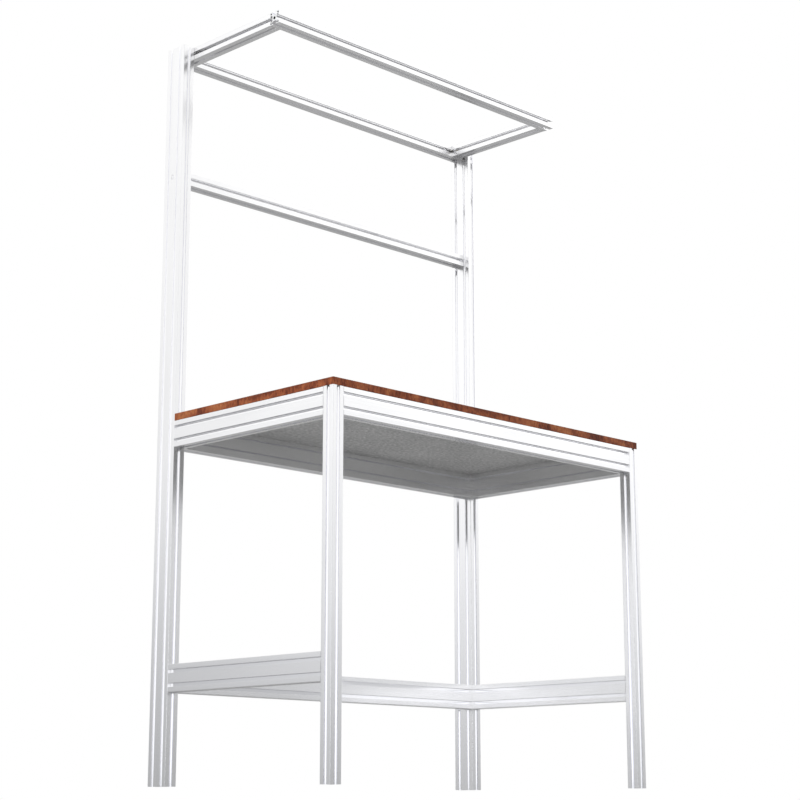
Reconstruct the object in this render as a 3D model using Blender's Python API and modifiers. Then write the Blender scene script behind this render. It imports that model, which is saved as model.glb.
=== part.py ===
"""Assembly table built from slotted aluminium profile, in metres with +Z up.

X runs to the right as the worker faces the table, Y runs from the worker's side to the back,
and the origin is on the floor under the middle of the table.
Two short legs at the front and two tall posts at the back carry a wood-edged tabletop on four
aprons. Three stretchers tie the legs, a rail ties the posts above the tabletop, and a level
frame of light profile at the top of the posts reaches forward over the work.
"""

import math

import bmesh
import bpy
from mathutils import Matrix, Vector

# Overall sizes
WIDTH = 1.000
DEPTH = 0.580
LEG_HEIGHT = 0.800
POST_HEIGHT = 1.700
STRETCHER_UNDERSIDE = 0.200
RAIL_DROP = 0.335
TOP_FRAME_REACH = 0.360

# Slotted profile: one square cell, and its slots
MODULE = 0.030
CORNER_RADIUS = 0.0018
SLOT_MOUTH = 0.0082
SLOT_LIP = 0.0020
SLOT_HEAD_WIDTH = 0.0165
SLOT_SHOULDER = 0.0050
SLOT_FLOOR_WIDTH = 0.0090
SLOT_DEPTH = 0.0092
CORE_BORE_RADIUS = 0.0035
CHAMBER_WIDTH = 0.0088
CHAMBER_WALL = 0.0025

# Tabletop
BOARD_THICKNESS = 0.016
LAMINATE_THICKNESS = 0.0010
BAND_THICKNESS = 0.0020

# End screws, which clamp a beam's end to a slot, and the washer strip under a pair of heads
SCREW_RADIUS = 0.0031
SCREW_REACH = 0.016
SCREW_HEAD_RADIUS = 0.0066
SCREW_HEAD_RIM = 0.0015
SCREW_HEAD_HEIGHT = 0.0042
SCREW_DOME_RADIUS = 0.0046
SOCKET_RADIUS = 0.0026
SOCKET_DEPTH = 0.0022
STRIP_LENGTH = 0.050
STRIP_WIDTH = 0.0150
STRIP_THICKNESS = 0.0016

# Bolts through the arms of the top frame, and slot nuts
SIDE_BOLT_RADIUS = 0.0028
SIDE_BOLT_HEAD_RADIUS = 0.0042
NUT_LENGTH = 0.020
NUT_WIDTH = 0.0150
NUT_THICKNESS = 0.0032

# Countersunk screws that hold the tabletop
TOP_SCREW_RADIUS = 0.0028
TOP_SCREW_HEAD_RADIUS = 0.0056
TOP_SCREW_CONE_HEIGHT = 0.0030
TOP_SCREW_INSET = 0.120

# Slim-headed screws from inside the posts into the rail, their bores and the plugs over them
RAIL_SCREW_HEAD_RADIUS = 0.0052
RAIL_BORE_RADIUS = 0.0059
RAIL_SEAT_THICKNESS = 0.0030
PLUG_THICKNESS = 0.0020

# Clearance between pieces that touch, and overrun of every cutter
GAP = 0.0003
OVERRUN = 0.002

# Facets
CORNER_STEPS = 2
BORE_SIDES = 10
TURNED_SIDES = 8
PLUG_SIDES = 16
SHARP_ANGLE = math.radians(40)

# Places worked out from the sizes
LEFT = -WIDTH / 2
RIGHT = WIDTH / 2
FRONT = -DEPTH / 2
BACK = DEPTH / 2
HALF = MODULE / 2
TWIN = 2 * MODULE
POST_FRONT = BACK - TWIN
APRON_UNDERSIDE = LEG_HEIGHT - TWIN
RAIL_UNDERSIDE = POST_HEIGHT - RAIL_DROP
FRAME_UNDERSIDE = POST_HEIGHT - MODULE
FRAME_FRONT = BACK - TOP_FRAME_REACH
TABLE_SURFACE = LEG_HEIGHT + GAP + BOARD_THICKNESS

# Colours and gloss
ANODISED = ("anodised_aluminium", (0.80, 0.81, 0.82), 0.32, 1.0)
BOARD = ("chipboard", (0.62, 0.50, 0.36), 0.85, 0.0)
GREY_SHEET = ("grey_laminate", (0.50, 0.50, 0.49), 0.60, 0.0)
WOOD_BAND = ("cherry_wood_band", (0.27, 0.12, 0.07), 0.50, 0.0)
STEEL = ("zinc_plated_steel", (0.70, 0.70, 0.68), 0.35, 1.0)
PLUG_GREY = ("light_grey_plastic", (0.72, 0.73, 0.74), 0.45, 0.0)


def clear_scene():
    """Remove every object that is already in the scene."""
    for thing in list(bpy.data.objects):
        bpy.data.objects.remove(thing, do_unlink=True)


def new_collection(name):
    """Make a collection under the scene's own."""
    group = bpy.data.collections.new(name)
    bpy.context.scene.collection.children.link(group)
    return group


def material(finish):
    """Return the material of a finish, making it the first time."""
    name, colour, roughness, metallic = finish
    found = bpy.data.materials.get(name)
    if found:
        return found
    made = bpy.data.materials.new(name)
    made.use_nodes = True
    shader = made.node_tree.nodes["Principled BSDF"]
    shader.inputs["Base Color"].default_value = (*colour, 1.0)
    shader.inputs["Roughness"].default_value = roughness
    shader.inputs["Metallic"].default_value = metallic
    return made


clear_scene()
PARTS = new_collection("assembly_table")
CUTTERS = new_collection("cutters")
TABLE = bpy.data.objects.new("table_origin", None)
PARTS.objects.link(TABLE)


def add_part(name, mesh, finish):
    """Put a mesh in the parts collection under its own name and finish."""
    thing = bpy.data.objects.new(name, mesh)
    mesh.materials.clear()
    mesh.materials.append(material(finish))
    thing.parent = TABLE
    PARTS.objects.link(thing)
    return thing


# Flat outlines

def circle_points(radius, sides, centre=(0.0, 0.0)):
    """Points of a circle, with a flat side across each axis where the sides allow it."""
    turn = 2 * math.pi / sides
    return [(centre[0] + radius * math.cos(turn * (k + 0.5)),
             centre[1] + radius * math.sin(turn * (k + 0.5))) for k in range(sides)]


def rectangle_points(width, height, centre=(0.0, 0.0)):
    """Corners of a rectangle about its centre."""
    x, y = centre
    return [(x - width / 2, y - height / 2), (x + width / 2, y - height / 2),
            (x + width / 2, y + height / 2), (x - width / 2, y + height / 2)]


def corner_points(corner, inward_a, inward_b):
    """Arc round one corner, from the side that runs in to the side that runs out."""
    centre = corner + CORNER_RADIUS * (inward_a + inward_b)
    points = []
    for step in range(CORNER_STEPS + 1):
        angle = step / CORNER_STEPS * math.pi / 2
        points.append(centre - CORNER_RADIUS * (math.cos(angle) * inward_a + math.sin(angle) * inward_b))
    return points


def slot_points(centre, along, inward):
    """Outline of one slot, walked along its side of the profile."""
    shape = [(-SLOT_MOUTH / 2, 0), (-SLOT_MOUTH / 2, SLOT_LIP), (-SLOT_HEAD_WIDTH / 2, SLOT_LIP),
             (-SLOT_HEAD_WIDTH / 2, SLOT_SHOULDER), (-SLOT_FLOOR_WIDTH / 2, SLOT_DEPTH)]
    mirrored = [(-a, d) for a, d in reversed(shape)]
    return [centre + a * along + d * inward for a, d in shape + mirrored]


def profile_outer(cells):
    """Outer outline of a profile one cell wide and the given number of cells deep."""
    width, depth = MODULE, cells * MODULE
    x_way, y_way = Vector((1, 0)), Vector((0, 1))
    corners = [Vector(p) for p in rectangle_points(width, depth)]
    sides = [(x_way, y_way, 1), (y_way, -x_way, cells), (-x_way, -y_way, 1), (-y_way, x_way, cells)]
    points = []
    for corner, (along, inward, count) in zip(corners, sides):
        points += corner_points(corner, along, inward)
        points += [p for k in range(count)
                   for p in slot_points(corner + (k + 0.5) * MODULE * along, along, inward)]
    return [tuple(p) for p in points]


def profile_loops(cells):
    """All outlines of a profile: the outer one, a core bore a cell, and the chambers between cells."""
    first = -(cells - 1) * HALF
    bores = [circle_points(CORE_BORE_RADIUS, BORE_SIDES, (0, first + k * MODULE)) for k in range(cells)]
    chambers = [rectangle_points(MODULE - 2 * CHAMBER_WALL, CHAMBER_WIDTH, (0, first + HALF + k * MODULE))
                for k in range(cells - 1)]
    return [profile_outer(cells)] + bores + chambers


def extruded(name, loops, thickness):
    """Mesh of a filled flat outline, extruded evenly to both sides of its plane."""
    curve = bpy.data.curves.new(name + "_outline", "CURVE")
    curve.dimensions = "2D"
    curve.fill_mode = "BOTH"
    curve.extrude = thickness / 2
    for loop in loops:
        spline = curve.splines.new("POLY")
        spline.points.add(len(loop) - 1)
        for point, (x, y) in zip(spline.points, loop):
            point.co = (x, y, 0, 1)
        spline.use_cyclic_u = True
    drawn = bpy.data.objects.new(name + "_outline", curve)
    bpy.context.scene.collection.objects.link(drawn)
    mesh = evaluated_mesh(drawn)
    mesh.transform(drawn.matrix_world)
    bpy.data.objects.remove(drawn)
    bpy.data.curves.remove(curve)
    weld(mesh)
    mesh.name = name
    return mesh


def weld(mesh):
    """Join the loose caps of an outline to its walls and turn every face outwards."""
    shape = bmesh.new()
    shape.from_mesh(mesh)
    bmesh.ops.remove_doubles(shape, verts=shape.verts, dist=GAP / 10)
    bmesh.ops.recalc_face_normals(shape, faces=shape.faces)
    shape.to_mesh(mesh)
    shape.free()


def evaluated_mesh(thing):
    """New mesh of an object with its modifiers applied."""
    graph = bpy.context.evaluated_depsgraph_get()
    return bpy.data.meshes.new_from_object(thing.evaluated_get(graph))


def turned(name, profile, sides):
    """Mesh of a profile of radius and height pairs, turned about Z."""
    outline = bpy.data.meshes.new(name + "_profile")
    points = [(radius, 0, height) for radius, height in profile]
    outline.from_pydata(points, [(k, k + 1) for k in range(len(points) - 1)], [])
    drawn = bpy.data.objects.new(name + "_profile", outline)
    bpy.context.scene.collection.objects.link(drawn)
    screw = drawn.modifiers.new("turn", "SCREW")
    screw.steps = sides
    screw.render_steps = sides
    screw.use_merge_vertices = True
    screw.merge_threshold = GAP / 10
    mesh = evaluated_mesh(drawn)
    bpy.data.objects.remove(drawn)
    bpy.data.meshes.remove(outline)
    weld(mesh)
    mesh.name = name
    return shaded_smooth(mesh)


def box(name, width, depth, height):
    """Mesh of a box about its own middle."""
    shape = bmesh.new()
    bmesh.ops.create_cube(shape, size=1)
    bmesh.ops.scale(shape, verts=shape.verts, vec=(width, depth, height))
    mesh = bpy.data.meshes.new(name)
    shape.to_mesh(mesh)
    shape.free()
    return mesh


def cylinder(name, radius, height, sides):
    """Mesh of a cylinder about Z and its own middle."""
    shape = bmesh.new()
    bmesh.ops.create_cone(shape, cap_ends=True, segments=sides, depth=height,
                          radius1=radius, radius2=radius)
    mesh = bpy.data.meshes.new(name)
    shape.to_mesh(mesh)
    shape.free()
    return shaded_smooth(mesh)


def shaded_smooth(mesh):
    """Shade a round mesh smooth, with its edges kept sharp."""
    mesh.shade_smooth()
    mesh.set_sharp_from_angle(angle=SHARP_ANGLE)
    return mesh


def moved(mesh, shift):
    """A mesh moved by a vector within its own frame."""
    mesh.transform(Matrix.Translation(shift))
    return mesh


def copied(name, one, places):
    """One mesh that holds a copy of another at each place."""
    shape = bmesh.new()
    for place in places:
        step = one.copy()
        step.transform(place)
        shape.from_mesh(step)
        bpy.data.meshes.remove(step)
    mesh = bpy.data.meshes.new(name)
    shape.to_mesh(mesh)
    shape.free()
    bpy.data.meshes.remove(one)
    return mesh


def joined(name, body, addition):
    """One mesh of the union of two, which overlap."""
    base = bpy.data.objects.new(name + "_base", body)
    extra = bpy.data.objects.new(name + "_extra", addition)
    for thing in (base, extra):
        bpy.context.scene.collection.objects.link(thing)
    union = base.modifiers.new("join", "BOOLEAN")
    union.operation = "UNION"
    union.solver = "EXACT"
    union.object = extra
    mesh = evaluated_mesh(base)
    for thing in (base, extra):
        bpy.data.objects.remove(thing)
    mesh.name = name
    return mesh


def cut(thing, mesh, place=Matrix.Identity(4)):
    """Cut a mesh at its place out of an object with a Boolean modifier."""
    cutter = bpy.data.objects.new("cut_" + thing.name, mesh)
    cutter.matrix_world = place
    cutter.hide_render = True
    cutter.display_type = "WIRE"
    CUTTERS.objects.link(cutter)
    modifier = thing.modifiers.new("cut", "BOOLEAN")
    modifier.operation = "DIFFERENCE"
    modifier.solver = "EXACT"
    modifier.object = cutter


# Profile lengths, each placed by its middle

def standing(name, cells, x, y, low, high):
    """A profile that stands upright, with its cells one behind the other."""
    beam = add_part(name, extruded(name, profile_loops(cells), high - low), ANODISED)
    beam.location = (x, y, (low + high) / 2)
    return beam


def across(name, cells, y, underside, low, high):
    """A level profile along X, with its cells one above the other."""
    beam = add_part(name, extruded(name, profile_loops(cells), high - low - 2 * GAP), ANODISED)
    beam.location = ((low + high) / 2, y, underside + cells * HALF)
    beam.rotation_euler = (math.pi / 2, 0, math.pi / 2)
    return beam


def lengthwise(name, cells, x, underside, low, high):
    """A level profile along Y, with its cells one above the other."""
    beam = add_part(name, extruded(name, profile_loops(cells), high - low - 2 * GAP), ANODISED)
    beam.location = (x, (low + high) / 2, underside + cells * HALF)
    beam.rotation_euler = (-math.pi / 2, 0, 0)
    return beam


def both_sides():
    """The two sides of the table: a name, the sign of X and the middle of the outer profiles."""
    return (("left", -1, LEFT + HALF), ("right", 1, RIGHT - HALF))


def build_uprights():
    """Two legs at the front, and two tall posts with two cells at the back."""
    posts = {}
    for side, sign, x in both_sides():
        standing("leg_front_" + side, 1, x, FRONT + HALF, 0, LEG_HEIGHT)
        posts[sign] = standing("post_rear_" + side, 2, x, POST_FRONT + MODULE, 0, POST_HEIGHT)
    return posts


def build_table_frame():
    """Aprons under the tabletop and stretchers near the floor, all two cells high."""
    inner_left, inner_right = LEFT + MODULE, RIGHT - MODULE
    rear_row = POST_FRONT + HALF
    across("apron_front", 2, FRONT + HALF, APRON_UNDERSIDE, inner_left, inner_right)
    across("apron_rear", 2, rear_row, APRON_UNDERSIDE, inner_left, inner_right)
    across("stretcher_rear", 2, rear_row, STRETCHER_UNDERSIDE, inner_left, inner_right)
    for side, _, x in both_sides():
        lengthwise("apron_" + side, 2, x, APRON_UNDERSIDE, FRONT + MODULE, POST_FRONT)
        lengthwise("stretcher_" + side, 2, x, STRETCHER_UNDERSIDE, FRONT + MODULE, POST_FRONT)


def build_upper_frame():
    """The rail between the posts, and the level frame between their tops."""
    inner_left, inner_right = LEFT + MODULE, RIGHT - MODULE
    across("middle_rail", 1, POST_FRONT + MODULE, RAIL_UNDERSIDE, inner_left, inner_right)
    across("top_frame_front_beam", 1, FRAME_FRONT + HALF, FRAME_UNDERSIDE,
           inner_left - GAP, inner_right + GAP)
    across("top_frame_rear_beam", 1, BACK - HALF, FRAME_UNDERSIDE, inner_left, inner_right)
    for side, sign, x in both_sides():
        arm = lengthwise("top_frame_arm_" + side, 1, x - sign * (MODULE + GAP), FRAME_UNDERSIDE,
                         FRAME_FRONT + MODULE, BACK - MODULE)
        bore_arm(arm, sign, x)


# Screws and nuts

def facing(point, way, up=(0, 0, 1)):
    """Place at a point for a piece whose own +Z is turned to a way, and its own +Y to another."""
    z_way, y_way = Vector(way), Vector(up)
    turn = Matrix((y_way.cross(z_way), y_way, z_way)).transposed()
    return Matrix.Translation(point) @ turn.to_4x4()


def clear_radius(radius, sides):
    """Radius of a faceted bore whose flat sides clear a round piece."""
    return (radius + GAP) / math.cos(math.pi / sides)


def button_head_screw(name, radius, reach, head_radius):
    """Button-head screw: its head's seat at height 0, its head above and its thread below."""
    dome_radius = min(SCREW_DOME_RADIUS, head_radius - (SCREW_HEAD_RADIUS - SCREW_DOME_RADIUS) / 2)
    profile = [(0, SCREW_HEAD_HEIGHT - SOCKET_DEPTH), (SOCKET_RADIUS, SCREW_HEAD_HEIGHT - SOCKET_DEPTH),
               (SOCKET_RADIUS, SCREW_HEAD_HEIGHT), (dome_radius, SCREW_HEAD_HEIGHT),
               (head_radius, SCREW_HEAD_RIM), (head_radius, 0), (radius, 0), (radius, -reach), (0, -reach)]
    return turned(name, profile, TURNED_SIDES)


def add_fixing(name, mesh, point, way, finish=STEEL, up=(0, 0, 1)):
    """A screw, nut or plug as a node of its own, which may share its mesh with the others."""
    thing = add_part(name, mesh, finish)
    thing.matrix_local = facing(point, way, up)
    return thing


def screw_pair():
    """Two end screws through one washer strip, which lies behind the lips of an upright slot."""
    lift = (0, 0, STRIP_THICKNESS / 2)
    strip = moved(box("washer_strip", STRIP_WIDTH, STRIP_LENGTH, STRIP_THICKNESS), lift)
    reach = STRIP_THICKNESS + SLOT_LIP + 2 * GAP + SCREW_REACH
    screw = button_head_screw("screw_of_pair", SCREW_RADIUS, reach, SCREW_HEAD_RADIUS)
    places = [Matrix.Translation((0, y, STRIP_THICKNESS)) for y in (-HALF, HALF)]
    return joined("screw_pair", strip, copied("screws_of_pair", screw, places))


def build_screw_pairs():
    """A pair of end screws at both ends of every beam that is two cells high."""
    pair = screw_pair()
    seat = SLOT_LIP + GAP
    rear_row = POST_FRONT + HALF
    rows = (("apron_front", APRON_UNDERSIDE, FRONT + HALF), ("apron_rear", APRON_UNDERSIDE, rear_row),
            ("stretcher_rear", STRETCHER_UNDERSIDE, rear_row))
    side_beams = (("apron", APRON_UNDERSIDE), ("stretcher", STRETCHER_UNDERSIDE))
    for side, sign, x in both_sides():
        for beam, underside, y in rows:
            point = (x - sign * (HALF - seat), y, underside + MODULE)
            add_fixing(f"screw_pair_{beam}_{side}", pair, point, (sign, 0, 0))
        for beam, underside in side_beams:
            name, z = f"screw_pair_{beam}_{side}", underside + MODULE
            add_fixing(name + "_front", pair, (x, FRONT + MODULE - seat, z), (0, -1, 0))
            add_fixing(name + "_rear", pair, (x, POST_FRONT + seat, z), (0, 1, 0))


def build_top_frame_screws():
    """One end screw at both ends of the arms and of the rear beam of the top frame."""
    seat = SLOT_LIP + GAP
    reach_past_seat = HALF - SIDE_BOLT_RADIUS - 3 * GAP
    screw = button_head_screw("end_screw", SCREW_RADIUS, seat + reach_past_seat, SCREW_HEAD_RADIUS)
    z = FRAME_UNDERSIDE + HALF
    for side, sign, x in both_sides():
        post_point = (x - sign * (HALF - seat), BACK - HALF, z)
        add_fixing(f"screw_top_frame_rear_beam_{side}", screw, post_point, (sign, 0, 0))
        name, arm_x = f"screw_top_frame_arm_{side}", x - sign * (MODULE + GAP)
        add_fixing(name + "_front", screw, (arm_x, FRAME_FRONT + MODULE - seat, z), (0, -1, 0))
        add_fixing(name + "_rear", screw, (arm_x, BACK - MODULE + seat, z), (0, 1, 0))


def build_rail_fixings(posts):
    """Screws from inside the posts into the rail, with the bores they enter by and their plugs."""
    y, z = POST_FRONT + MODULE, RAIL_UNDERSIDE + HALF
    reach = RAIL_SEAT_THICKNESS + 2 * GAP + SCREW_REACH
    screw = button_head_screw("rail_screw", SCREW_RADIUS, reach, RAIL_SCREW_HEAD_RADIUS)
    plug = cylinder("plug", RAIL_BORE_RADIUS - GAP, PLUG_THICKNESS, PLUG_SIDES)
    for side, sign, x in both_sides():
        way = (sign, 0, 0)
        seat = x - sign * (HALF - RAIL_SEAT_THICKNESS)
        cut(posts[sign], rail_bore(), facing((seat, y, z), way))
        add_fixing(f"screw_middle_rail_{side}", screw, (seat + sign * GAP, y, z), way)
        plug_x = x + sign * (HALF - PLUG_THICKNESS / 2)
        add_fixing(f"plug_post_{side}", plug, (plug_x, y, z), way, PLUG_GREY)


def rail_bore():
    """Stepped bore across a post: wide outside the screw's seat, and narrow on the rail's side."""
    steps = [(0, MODULE), (RAIL_BORE_RADIUS, MODULE), (RAIL_BORE_RADIUS, 0),
             (CORE_BORE_RADIUS, 0), (CORE_BORE_RADIUS, -MODULE), (0, -MODULE)]
    return turned("rail_bore", steps, PLUG_SIDES)


def bore_arm(arm, sign, post_x):
    """Cross bore in an arm of the top frame, in line with the front slot of the post beside it."""
    radius = clear_radius(SIDE_BOLT_RADIUS, TURNED_SIDES)
    point = (post_x - sign * MODULE, POST_FRONT + HALF, FRAME_UNDERSIDE + HALF)
    cut(arm, cylinder("arm_bore", radius, MODULE, TURNED_SIDES), facing(point, (sign, 0, 0)))


def build_arm_bolts():
    """Bolts through the arms of the top frame into nuts in the posts' front slots."""
    y, z = POST_FRONT + HALF, FRAME_UNDERSIDE + HALF
    nut_seat = SLOT_LIP + GAP
    reach = MODULE - SLOT_DEPTH + nut_seat + NUT_THICKNESS
    bolt = button_head_screw("side_bolt", SIDE_BOLT_RADIUS, reach, SIDE_BOLT_HEAD_RADIUS)
    nut = slot_nut(SIDE_BOLT_RADIUS)
    for side, sign, x in both_sides():
        inner_face = x - sign * (HALF + GAP + MODULE)
        bolt_x = inner_face + sign * (SLOT_DEPTH - GAP)
        nut_x = x - sign * (HALF - nut_seat - NUT_THICKNESS / 2)
        add_fixing(f"bolt_top_frame_arm_{side}", bolt, (bolt_x, y, z), (-sign, 0, 0))
        add_fixing(f"slot_nut_top_frame_arm_{side}", nut, (nut_x, y, z), (sign, 0, 0))


def slot_nut(screw_radius):
    """Flat nut that lies behind the lips of a slot, its long way along Y."""
    loops = [rectangle_points(NUT_WIDTH, NUT_LENGTH),
             circle_points(clear_radius(screw_radius, TURNED_SIDES), TURNED_SIDES)]
    return extruded("slot_nut", loops, NUT_THICKNESS)


# Tabletop

def board_outline(inset):
    """Outline of the tabletop inside its edge bands, notched round the posts at the back."""
    side, notch = RIGHT - inset, RIGHT - MODULE - GAP
    front, shoulder, rear = FRONT + inset, POST_FRONT - GAP, POST_FRONT + MODULE - inset
    half = [(side, front), (side, shoulder), (notch, shoulder), (notch, rear)]
    return half + [(-x, y) for x, y in reversed(half)]


def top_screw_spots():
    """Where the tabletop is screwed down: over the top slots of the front and rear aprons."""
    return {f"{row}_{side}": (sign * (WIDTH / 2 - TOP_SCREW_INSET), y)
            for row, y in (("front", FRONT + HALF), ("rear", POST_FRONT + HALF))
            for side, sign, _ in both_sides()}


def build_tabletop():
    """Chipboard core between two sheets of grey laminate, with wood bands on its four edges."""
    skin = LAMINATE_THICKNESS
    layers = (("tabletop_under_laminate", GREY_SHEET, GAP, skin + GAP),
              ("tabletop_core", BOARD, skin + 2 * GAP, BOARD_THICKNESS - skin),
              ("tabletop_top_laminate", GREY_SHEET, BOARD_THICKNESS - skin + GAP, BOARD_THICKNESS + GAP))
    for name, finish, low, high in layers:
        mesh = extruded(name, [board_outline(BAND_THICKNESS + GAP)], high - low)
        layer = add_part(name, mesh, finish)
        layer.location = (0, 0, LEG_HEIGHT + (low + high) / 2)
        cut(layer, top_screw_bores())
    build_edge_bands()


def build_edge_bands():
    """Wood bands round the tabletop: the front one runs full width, and the rear one between the posts."""
    band, half_band = BAND_THICKNESS, BAND_THICKNESS / 2
    rear = POST_FRONT + MODULE
    side_low, side_high = FRONT + band + GAP, POST_FRONT - GAP
    post_gap = MODULE + GAP
    bands = (("edge_band_front", WIDTH, band, 0, FRONT + half_band),
             ("edge_band_rear", WIDTH - 2 * post_gap, band, 0, rear - half_band),
             ("edge_band_left", band, side_high - side_low, LEFT + half_band, (side_low + side_high) / 2),
             ("edge_band_right", band, side_high - side_low, RIGHT - half_band, (side_low + side_high) / 2))
    for name, width, depth, x, y in bands:
        strip = add_part(name, box(name, width, depth, BOARD_THICKNESS), WOOD_BAND)
        strip.location = (x, y, LEG_HEIGHT + GAP + BOARD_THICKNESS / 2)


def top_screw_bores():
    """Countersunk bores through the whole tabletop."""
    radius = clear_radius(TOP_SCREW_RADIUS, TURNED_SIDES)
    head = clear_radius(TOP_SCREW_HEAD_RADIUS, TURNED_SIDES)
    cone = TABLE_SURFACE - TOP_SCREW_CONE_HEIGHT - GAP
    bore = [(0, TABLE_SURFACE + OVERRUN), (head, TABLE_SURFACE + OVERRUN), (head, TABLE_SURFACE),
            (radius, cone), (radius, LEG_HEIGHT - OVERRUN), (0, LEG_HEIGHT - OVERRUN)]
    places = [Matrix.Translation((x, y, 0)) for x, y in top_screw_spots().values()]
    return copied("top_screw_bores", turned("top_screw_bore", bore, TURNED_SIDES), places)


def build_top_screws():
    """Countersunk screws flush with the tabletop, and their nuts in the aprons' top slots."""
    nut_middle = LEG_HEIGHT - SLOT_LIP - GAP - NUT_THICKNESS / 2
    length = TABLE_SURFACE - nut_middle + NUT_THICKNESS / 2
    profile = [(0, -SOCKET_DEPTH), (SOCKET_RADIUS, -SOCKET_DEPTH), (SOCKET_RADIUS, 0),
               (TOP_SCREW_HEAD_RADIUS, 0), (TOP_SCREW_RADIUS, -TOP_SCREW_CONE_HEIGHT),
               (TOP_SCREW_RADIUS, -length), (0, -length)]
    screw = turned("top_screw", profile, TURNED_SIDES)
    nut = slot_nut(TOP_SCREW_RADIUS)
    for spot, (x, y) in top_screw_spots().items():
        add_fixing(f"screw_tabletop_{spot}", screw, (x, y, TABLE_SURFACE), (0, 0, 1), up=(1, 0, 0))
        add_fixing(f"slot_nut_tabletop_{spot}", nut, (x, y, nut_middle), (0, 0, 1), up=(1, 0, 0))


rear_posts = build_uprights()
build_table_frame()
build_upper_frame()
build_screw_pairs()
build_top_frame_screws()
build_rail_fixings(rear_posts)
build_arm_bolts()
build_tabletop()
build_top_screws()
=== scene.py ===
"""Looks of the assembly table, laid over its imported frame, in metres with +Z up.

Each sub-assembly is a class that holds its sizes and builds and dresses its own pieces. The
profiles are drawn again with the fine section of the real extrusion, the tabletop gets its wood
bands and its speckled laminate, and the fixings that show get sockets and rims.
"""

import functools
import logging
import math
from dataclasses import dataclass, field
from enum import Enum

import bmesh
import bpy
from mathutils import Matrix, Vector


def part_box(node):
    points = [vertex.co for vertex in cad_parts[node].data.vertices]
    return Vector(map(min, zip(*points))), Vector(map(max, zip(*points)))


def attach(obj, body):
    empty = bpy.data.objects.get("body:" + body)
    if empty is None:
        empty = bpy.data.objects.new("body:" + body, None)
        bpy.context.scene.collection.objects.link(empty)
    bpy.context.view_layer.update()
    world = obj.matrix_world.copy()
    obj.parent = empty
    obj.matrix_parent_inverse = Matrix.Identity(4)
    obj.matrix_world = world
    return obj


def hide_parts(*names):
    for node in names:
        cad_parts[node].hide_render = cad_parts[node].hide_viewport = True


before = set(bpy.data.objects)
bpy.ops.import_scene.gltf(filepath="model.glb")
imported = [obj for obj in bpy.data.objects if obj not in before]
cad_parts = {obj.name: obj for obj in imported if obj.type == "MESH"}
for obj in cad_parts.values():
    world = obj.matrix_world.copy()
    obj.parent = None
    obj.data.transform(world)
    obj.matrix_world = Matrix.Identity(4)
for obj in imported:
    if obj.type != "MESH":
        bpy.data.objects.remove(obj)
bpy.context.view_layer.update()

LOG = logging.getLogger("assembly_table")
BODY = "root"
MM = 0.001
SIDES = ("left", "right")
ENDS = ("front", "rear")
QUARTER_TURN = math.pi / 2
DIAGONAL = math.sqrt(0.5)

# Meshes: how near points are welded, and how sharp an edge still shades as round
WELD_REACH = 0.01 * MM
ROUND_SHADE_ANGLE = math.radians(32)
FACE_WEIGHT = 100

# Noise: the range that most of its values lie in, and the narrower one in their middle
MOST_NOISE = (0.3, 0.7)
MIDDLE_NOISE = (0.35, 0.65)

# The mix node has sockets of one name for every data type, so its colours go by number
MIX_SHARE, MIX_FIRST, MIX_SECOND, MIX_RESULT = 0, 6, 7, 2

WHITE = (1.0, 1.0, 1.0)
GRAIN_LEAN = math.radians(24)

Triple = tuple[float, float, float]
Colour = Triple
Span = tuple[float, float]
Stops = tuple[Span, ...]
Tones = tuple[tuple[float, Colour], ...]
Socket = bpy.types.NodeSocket
Mesh = bpy.types.Mesh
Thing = bpy.types.Object
Loop = list[Vector]
Corner = tuple[Vector, float]


class Way(Enum):
    """Which way a profile runs: where its width, its depth and its length point."""

    UPRIGHT = ((1, 0, 0), (0, 1, 0), (0, 0, 1))
    ACROSS = ((0, 1, 0), (0, 0, 1), (1, 0, 0))
    LENGTHWISE = ((-1, 0, 0), (0, 0, 1), (0, 1, 0))

    def turn(self) -> Matrix:
        """Rotation that lays a section's own axes along these ways."""
        return Matrix(self.value).transposed().to_4x4()

    def length_axis(self) -> int:
        """Index of the world axis that the length runs along."""
        return [abs(part) for part in self.value[2]].index(1)


class Skin(Enum):
    """Which part of a profile's surface a face is on, as the number of its material."""

    FACE = 0
    SLOT = 1
    END = 2


@dataclass(frozen=True)
class Pattern:
    """Noise pattern in cycles per metre along the piece's own axes, leaning about its Y axis."""

    scale: Triple
    detail: float = 2.0
    roughness: float = 0.5
    warp: float = 0.0
    lean: float = 0.0


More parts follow.
